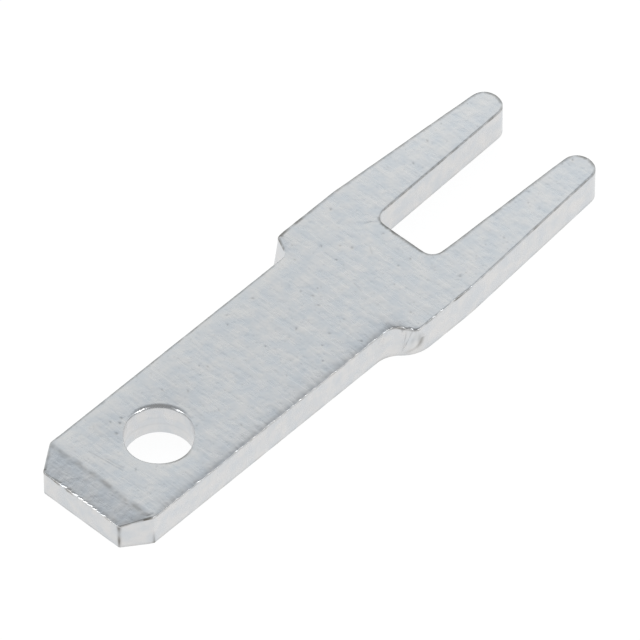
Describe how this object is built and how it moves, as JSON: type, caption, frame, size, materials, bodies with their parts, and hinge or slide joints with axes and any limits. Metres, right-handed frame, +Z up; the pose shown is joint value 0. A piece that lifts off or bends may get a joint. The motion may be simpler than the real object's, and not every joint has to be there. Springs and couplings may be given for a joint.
{
  "type": "flat blade terminal",
  "caption": "Flat blade terminal stamped from tinned brass sheet, with a bevelled tab and locking hole at one end and a forked solder foot at the other.",
  "frame": {"origin": "middle of the underside, halfway between the tab's tip and the prongs' ends", "axes": "+X from the tab's tip to the ends of the prongs, +Y across the width, +Z up from the underside to the face that the punch entered"},
  "size_m": [0.0132, 0.0038, 0.0008],
  "materials": {
    "tinned_brass": "bright tin plating over stamped brass sheet"
  },
  "bodies": {
    "root": {"blade": "tinned_brass"}
  },
  "joints": []
}
